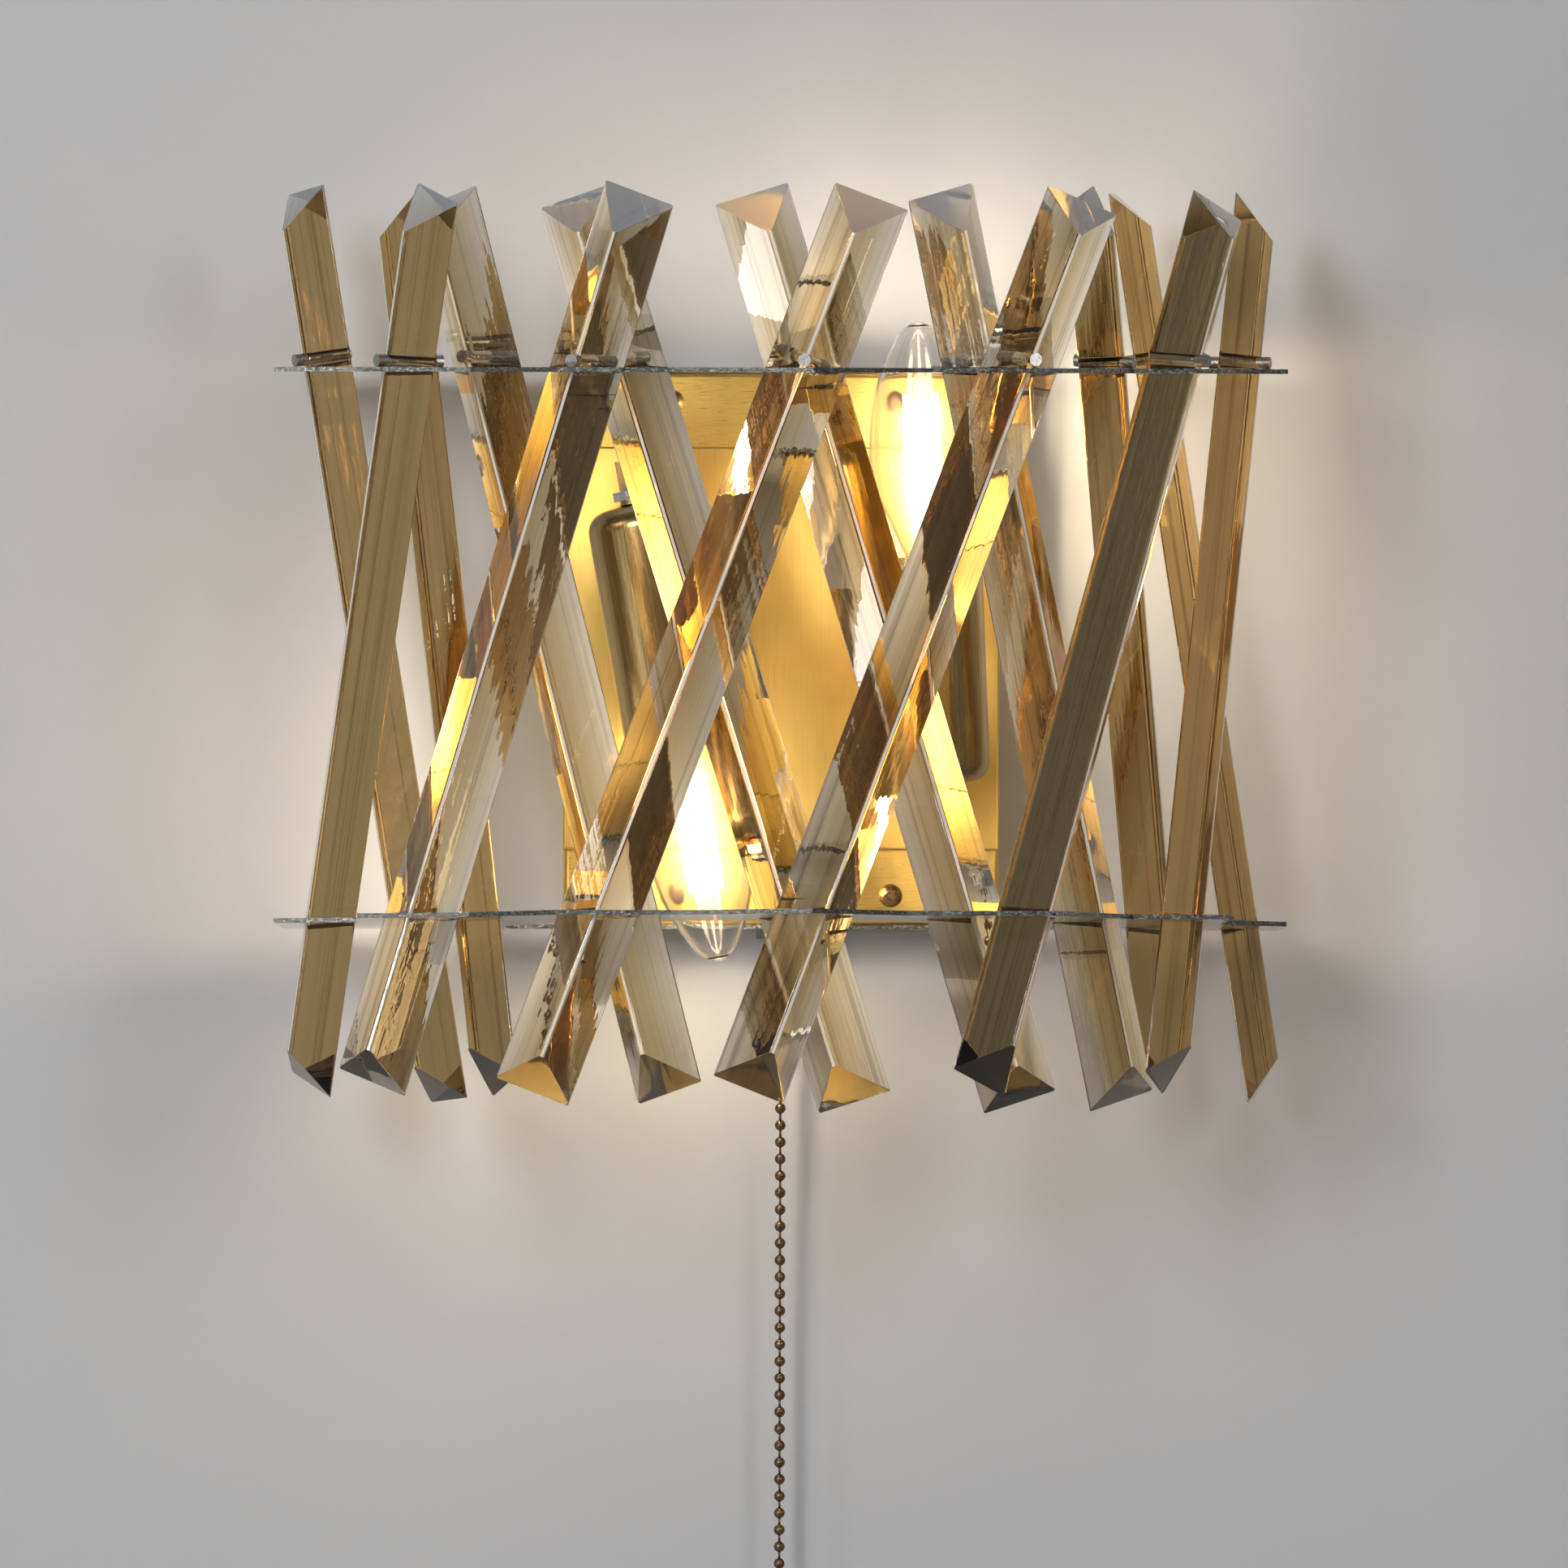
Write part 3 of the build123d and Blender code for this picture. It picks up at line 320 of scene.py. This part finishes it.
def bracket_material():
    """Zinc-plated sheet with faint spangles."""
    material, tree, shader = new_material("bracket_zinc", Metallic=1.0)
    cells = add_node(tree, "ShaderNodeTexVoronoi", {"Vector": object_coords(tree, (0.006, 0.006, 0.006))})
    spangles = cells.outputs["Color"]
    drive(
        shader,
        Base_Color=ramp(tree, spangles, ((0.2, (0.48, 0.5, 0.52)), (0.8, (0.62, 0.63, 0.64)))),
        Roughness=remap(tree, spangles, 0.28, 0.42, 0.1, 0.9),
        Normal=bump(tree, noise(tree, 0.001, detail=4.0), 0.00002),
    )
    return material


def brushed(name, tones, cell, turn=(0, 0, 0), roughness=(0.2, 0.4), relief=0.00002, cloud=0.03):
    """Brushed metal: streaks in cells of the given size, with a soft change of tone over the sheet."""
    material, tree, shader = new_material(name, Metallic=1.0)
    streaks = noise(tree, cell, detail=5.0, roughness=0.6, turn=turn)
    fine = noise(tree, tuple(size / 4 for size in cell), turn=turn)
    patches = noise(tree, cloud)
    dark, light = tones
    tone = ramp(tree, streaks, ((0.3, dark), (0.7, light)))
    aged = [channel * 0.88 for channel in dark]
    drive(
        shader,
        Base_Color=mix_colour(tree, remap(tree, patches, 0.35, 0.0), tone, (*aged, 1)),
        Roughness=remap(tree, fine, *roughness),
        Normal=bump(tree, fine, relief, normal=bump(tree, streaks, relief * 2)),
    )
    return material


def moulded(name, tones, cell=0.004, roughness=(0.4, 0.6)):
    """Moulded or sleeved surface: fine grain with small changes of tone."""
    material, tree, shader = new_material(name)
    grain = noise(tree, cell, detail=4.0)
    fine = noise(tree, cell / 8, detail=2.0)
    dark, light = tones
    drive(
        shader,
        Base_Color=ramp(tree, grain, ((0.3, dark), (0.7, light))),
        Roughness=remap(tree, grain, *roughness),
        Normal=bump(tree, fine, 0.00005),
    )
    return material


def cup_material(side):
    """Antique brass brushed along a cup's length."""
    lean = math.radians(LAMPS[side][1])
    cell = (0.0008, 0.0008, 0.2)
    return brushed(f"{side}_cup_brass", CUP_BRASS, cell, turn=(0, -lean, 0), roughness=(0.18, 0.28))


BRASS = ((0.71, 0.495, 0.14), (0.77, 0.55, 0.17))  # dark and light tone, like the pairs below
OLD_BRASS = ((0.2, 0.12, 0.05), (0.42, 0.28, 0.13))
ARM_BRASS = ((0.3, 0.2, 0.09), (0.5, 0.36, 0.18))
CUP_BRASS = ((0.34, 0.245, 0.1), (0.5, 0.37, 0.17))
BRONZE = ((0.07, 0.045, 0.025), (0.3, 0.2, 0.11))
PIN_STEEL = ((0.3, 0.29, 0.27), (0.5, 0.49, 0.46))
ZINC = ((0.45, 0.46, 0.47), (0.62, 0.63, 0.64))
NICKEL = ((0.55, 0.53, 0.49), (0.74, 0.72, 0.68))
CREAM = ((0.72, 0.69, 0.6), (0.82, 0.8, 0.72))
WHITE = ((0.75, 0.74, 0.7), (0.86, 0.85, 0.82))
BLACK = ((0.03, 0.03, 0.03), (0.06, 0.06, 0.06))
BROWN = ((0.2, 0.16, 0.11), (0.34, 0.28, 0.2))

LOOKS = {
    "crystal": crystal_material(),
    "pin_steel": brushed("pin_steel", PIN_STEEL, (0.001, 0.02, 0.001), relief=0.00001),
    "plate_steel": plate_material(),
    "zinc_steel": brushed("zinc_steel", ZINC, (0.0015, 0.0015, 0.0015)),
    "pan_brass": brushed("pan_brass", BRASS, (0.03, 0.0004, 0.0004), roughness=(0.25, 0.36), relief=0.00001),
    "panel_brass": brushed(
        "panel_brass", BRASS, (0.0004, 0.0004, 0.06), roughness=(0.27, 0.35), relief=0.000005
    ),
    "screw_brass": brushed("screw_brass", OLD_BRASS, (0.0008, 0.0008, 0.0008), roughness=(0.2, 0.34)),
    "arm_brass": brushed("arm_brass", ARM_BRASS, (0.0006, 0.01, 0.0006)),
    "bracket_steel": bracket_material(),
    "holder_plastic": moulded("holder_plastic", CREAM),
    "sleeve_brass": brushed("sleeve_brass", BRASS, (0.0008, 0.0008, 0.004)),
    "cap_nickel": brushed("cap_nickel", NICKEL, (0.002, 0.002, 0.0004)),
    "bulb_glass": bulb_glass_material(),
    "filament": filament_material(),
    "lead_sleeve": moulded("lead_sleeve", BROWN, cell=0.0012),
    "terminal_plastic": moulded("terminal_plastic", WHITE),
    "switch_plastic": moulded("switch_plastic", BLACK, roughness=(0.35, 0.5)),
    "chain_bronze": brushed(
        "chain_bronze", BRONZE, (0.0009, 0.0009, 0.0006), roughness=(0.25, 0.45), cloud=0.004
    ),
}

SLOT_OF = {part["node"]: part["material_slot"] for part in frame["record"]["subparts"]}
for node_name, node_object in frame["nodes"].items():
    look = cup_material(node_name.split("_")[0]) if node_name.endswith("_cup") else LOOKS[SLOT_OF[node_name]]
    for index in range(len(node_object.material_slots)):
        node_object.material_slots[index].material = look


# ---------------------------------------------------------------- pieces
def new_piece(name, shape, body, slot, replaced):
    """An object from a bmesh, riding on its body, with its slot's look, in place of a node."""
    mesh = bpy.data.meshes.new(name)
    shape.to_mesh(mesh)
    shape.free()
    piece = bpy.data.objects.new(name, mesh)
    scene.collection.objects.link(piece)
    mesh.materials.append(LOOKS[slot])
    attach(piece, body)
    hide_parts(replaced)


def revolve(shape, profile, place, segments):
    """Rings of a (radius, height) profile about z, moved to a place; a radius of 0 makes a point."""
    turns = [2 * math.pi * step / segments for step in range(segments)]
    rings = []
    for radius, height in profile:
        around = turns if radius else turns[:1]
        points = [Vector((radius * math.cos(turn), radius * math.sin(turn), height)) for turn in around]
        rings.append([shape.verts.new(place @ point) for point in points])
    for low, high in zip(rings, rings[1:]):
        for step in range(segments):
            after = (step + 1) % segments
            corners = [low[step % len(low)], low[after % len(low)]]
            corners += [high[after % len(high)], high[step % len(high)]]
            unique = list(dict.fromkeys(corners))
            if len(unique) > 2:
                shape.faces.new(unique).smooth = True


def smooth_line(points, steps):
    """Points of a smooth curve through the given ones."""
    line = []
    padded = [points[0], *points, points[-1]]
    for four in zip(padded, padded[1:], padded[2:], padded[3:]):
        for step in range(steps):
            t = step / steps
            line.append(tuple(curve_value(t, *values) for values in zip(*four)))
    return line + [points[-1]]


def curve_value(t, a, b, c, d):
    """A value on the way from b to c, on a curve that also heeds their neighbours a and d."""
    square = 2 * a - 5 * b + 4 * c - d
    cube = 3 * b - a - 3 * c + d
    return 0.5 * (2 * b + (c - a) * t + square * t * t + cube * t**3)


def lamp_place(side):
    """Frame of a lamp: z runs from the cup's domed end to the bulb's tip."""
    (x, z), lean, sign = LAMPS[side]
    angle = math.radians(lean)
    along = Vector((-sign * math.sin(angle), 0, sign * math.cos(angle)))
    across = Vector((0, 1, 0)).cross(along)
    turn = Matrix((across, along.cross(across), along)).transposed().to_4x4()
    return Matrix.Translation((x, -LAMP_STANDOFF, z)) @ turn


def make_bulb_glass(side):
    """Candle bulb glass with a real wall: smooth flank, rounded tip and open neck."""
    flank = smooth_line(GLASS_PROFILE, GLASS_CURVE_STEPS)
    outer = [(GLASS_NECK, GLASS_START), *flank, GLASS_NOSE, (0, GLASS_TIP)]
    inner = [(GLASS_NECK - GLASS_WALL, GLASS_START)]
    inner += [(radius - GLASS_WALL, height) for radius, height in flank[:-1]]
    inner += [GLASS_NOSE_INSIDE, (0, GLASS_TIP - 2 * GLASS_WALL)]
    shape = bmesh.new()
    revolve(shape, outer, lamp_place(side), GLASS_SEGMENTS)
    revolve(shape, inner[::-1], lamp_place(side), GLASS_SEGMENTS)
    bmesh.ops.bridge_loops(shape, edges=[edge for edge in shape.edges if edge.is_boundary])
    bmesh.ops.recalc_face_normals(shape, faces=shape.faces)
    new_piece(f"{side}_glass", shape, f"{side}_bulb", "bulb_glass", f"{side}_bulb_glass")


def prism_place(shape):
    """Frame of a prism: z along its length, y from its base to its ridge."""
    longest = max(shape.edges, key=lambda edge: edge.calc_length())
    along = (longest.verts[1].co - longest.verts[0].co).normalized()
    along = along if along.z > 0 else -along
    base = max(shape.faces, key=lambda face: face.calc_area())
    ridge = (-base.normal - along * along.dot(-base.normal)).normalized()
    turn = Matrix((ridge.cross(along), ridge, along)).transposed().to_4x4()
    return Matrix.Translation(base.calc_center_median()) @ turn


def edges_between(shape, low, high, shortest):
    """The edges whose faces meet at an angle between two values, without the short ones."""
    edges = [edge for edge in shape.edges if edge.calc_length() > shortest]
    return [edge for edge in edges if low < edge.calc_face_angle(0) < high]


def round_edges(shape, edges, offset, segments):
    """Rounds edges; gives the new faces."""
    made = bmesh.ops.bevel(shape, geom=edges, offset=offset, segments=segments, profile=0.5, affect="EDGES")
    for face in made["faces"]:
        face.smooth = True
    return made["faces"]


def make_crystal(name):
    """The prism with its corners rounded, as polishing leaves them, and marks for its material to read."""
    node = frame["nodes"][name]
    shape = bmesh.new()
    shape.from_mesh(node.data)
    shape.transform(node.matrix_world)
    bmesh.ops.remove_doubles(shape, verts=shape.verts, dist=WELD)
    bmesh.ops.dissolve_limit(shape, angle_limit=FLAT_ANGLE, verts=shape.verts, edges=shape.edges)
    place = prism_place(shape)
    arris = shape.faces.layers.float.new("arris")
    ground = shape.faces.layers.float.new("crest")
    prism = shape.verts.layers.float_vector.new("prism")
    for face in shape.faces:
        face.smooth = False
    crest = edges_between(shape, *CREST_ANGLES, CREST_LENGTH)
    # The narrow flat along the ridge carries the ground line, whose pale colour is partly a painted
    # highlight.
    for edge in crest:
        min(edge.link_faces, key=lambda face: face.calc_area())[ground] = 1.0
    for face in round_edges(shape, crest, CREST_BEVEL, 4):
        face[ground] = 0.0
    corners = edges_between(shape, CORNER_ANGLE, math.tau, CORNER_LENGTH)
    for face in round_edges(shape, corners, CRYSTAL_BEVEL, 3):
        face[arris] = 1.0
        face[ground] = 0.0
    bmesh.ops.dissolve_degenerate(shape, dist=WELD / 10, edges=shape.edges)
    bmesh.ops.triangulate(shape, faces=[face for face in shape.faces if len(face.verts) > 4])
    # Marks the bottom end faces for painted shade and the top end faces for painted light.
    painted_dark_foot = shape.faces.layers.float.new("painted_dark_foot")
    painted_pale_head = shape.faces.layers.float.new("painted_pale_head")
    for face in shape.faces:
        face.normal_update()
        slant = face.normal.dot(place.col[2].xyz)
        face[painted_dark_foot] = 1.0 if slant < -END_SLANT else 0.0
        face[painted_pale_head] = 1.0 if slant > END_SLANT else 0.0
    for point in shape.verts:
        point[prism] = place.inverted() @ point.co
    new_piece(f"{name}_cut", shape, name, "crystal", name)


def make_bead_chain():
    """Round beads with sunk mouths on short links, from the switch's nozzle down to the knob."""
    low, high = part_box("pull_chain")
    centre = (low + high) / 2
    shape = bmesh.new()
    mouth = math.asin(MOUTH_SHARE)
    turns = [mouth + (math.pi - 2 * mouth) * step / BEAD_STEPS for step in range(BEAD_STEPS + 1)]
    skin = [(BEAD_RADIUS * math.sin(turn), -BEAD_RADIUS * math.cos(turn)) for turn in turns]
    lip = BEAD_RADIUS * LIP_SHARE
    profile = [(0, -lip), (LINK_RADIUS, -lip), *skin, (LINK_RADIUS, lip), (0, lip)]
    for bead in range(BEAD_COUNT):
        middle = high.z - BEAD_PITCH * (bead + 0.5)
        revolve(shape, profile, Matrix.Translation((centre.x, centre.y, middle)), BEAD_SEGMENTS)
    for link in range(BEAD_COUNT + 1):
        middle = high.z - BEAD_PITCH * link
        reach = BEAD_PITCH / 2 - LINK_SINK
        top = min(middle + reach, high.z) - middle
        bottom = max(middle - reach, low.z) - middle
        waist = (LINK_RADIUS * LINK_WAIST, 0)
        rod = [(0, bottom), (LINK_RADIUS, bottom), waist, (LINK_RADIUS, top), (0, top)]
        if link == 0:  # it ends where its waist would be
            rod = rod[:2] + rod[3:]
        revolve(shape, rod, Matrix.Translation((centre.x, centre.y, middle)), LINK_SEGMENTS)
    bmesh.ops.recalc_face_normals(shape, faces=shape.faces)
    new_piece("bead_chain", shape, "pull_switch", "chain_bronze", "pull_chain")


make_bulb_glass("left")
make_bulb_glass("right")
make_bead_chain()
for node_name in frame["nodes"]:
    if node_name.endswith("_crystal") or "_crystal_" in node_name:
        make_crystal(node_name)


# ---------------------------------------------------------------- wall, floor and light
def stage_sheet(name, corners, material):
    """A plain face that isn't part of the sconce."""
    mesh = bpy.data.meshes.new(name)
    mesh.from_pydata(corners, [], [tuple(range(len(corners)))])
    mesh.materials.append(material)
    sheet = bpy.data.objects.new(name, mesh)
    scene.collection.objects.link(sheet)


def wall_material():
    """Painted plaster with a fine roller grain; it is clear from behind, so that the sconce's back shows."""
    material, tree, shader = new_material("wall_paint", Roughness=0.75)
    broad = noise(tree, 0.3, detail=2.0)
    drive(
        shader,
        Base_Color=ramp(tree, broad, ((0.3, (0.455, 0.455, 0.46)), (0.7, (0.475, 0.475, 0.478)))),
        Normal=bump(tree, noise(tree, 0.004, detail=4.0), 0.0002, strength=0.4),
    )
    behind = add_node(tree, "ShaderNodeNewGeometry").outputs["Backfacing"]
    clear_where(material, maths(tree, "MAXIMUM", behind, shadow_ray(tree)))
    return material


def floor_material():
    """Pale floor with a faint grain."""
    material, tree, shader = new_material("floor_paint", Roughness=0.6)
    grain = noise(tree, 0.02)
    drive(shader, Base_Color=ramp(tree, grain, ((0.3, (0.6, 0.6, 0.6)), (0.7, (0.64, 0.64, 0.64)))))
    return material


def softbox(name, place, size, power, target=(0, 0, -0.03), roll=0.0):
    """A rectangular studio lamp that points at a target and is turned about its own axis."""
    lamp = bpy.data.lights.new(name, "AREA")
    lamp.shape = "RECTANGLE"
    lamp.size, lamp.size_y = size
    lamp.energy = power
    made = bpy.data.objects.new(name, lamp)
    scene.collection.objects.link(made)
    made.location = place
    aim = (Vector(place) - Vector(target)).to_track_quat("Z", "Y").to_matrix()
    made.rotation_euler = (aim @ Matrix.Rotation(math.radians(roll), 3, "Z")).to_euler()


WALL_Y = 0.0006  # just behind the wall bracket's back
FLOOR_Z = -1.4
SIDE = 3
WALL = [(-SIDE, WALL_Y, FLOOR_Z), (SIDE, WALL_Y, FLOOR_Z), (SIDE, WALL_Y, 2), (-SIDE, WALL_Y, 2)]
FLOOR = [(-SIDE, -5, FLOOR_Z), (SIDE, -5, FLOOR_Z), (SIDE, 0.5, FLOOR_Z), (-SIDE, 0.5, FLOOR_Z)]
stage_sheet("wall", WALL, wall_material())
stage_sheet("floor", FLOOR, floor_material())

softbox("left_softbox", (-0.95, -2.1, 0.6), (0.5, 0.7), 27.0)
softbox("right_softbox", (1.25, -1.95, 0.6), (0.45, 0.7), 11.0)
softbox("low_softbox", (-1.559, -1.187, -0.521), (0.25, 0.4), 3.5, target=(0.01, -0.07, 0.06), roll=7.7)
softbox("back_fill", (0, 2.2, 0.5), (1.5, 1.5), 12.0)

SKY_COLOUR = (0.9, 0.93, 1.0, 1)
SKY_STRENGTH = 0.19
SKY_SEEN = 0.42  # what the camera sees of it where no wall is
world = bpy.data.worlds.new("studio")
scene.world = world
world.use_nodes = True
sky = world.node_tree
direct = add_node(sky, "ShaderNodeLightPath").outputs["Is Camera Ray"]
background = sky.nodes["Background"]
background.inputs["Color"].default_value = SKY_COLOUR
drive(background, Strength=remap(sky, direct, SKY_STRENGTH, SKY_SEEN, 0.0, 1.0))

scene.view_settings.view_transform = "Standard"
scene.cycles.max_bounces = 24
scene.cycles.transmission_bounces = 20
scene.cycles.transparent_max_bounces = 24
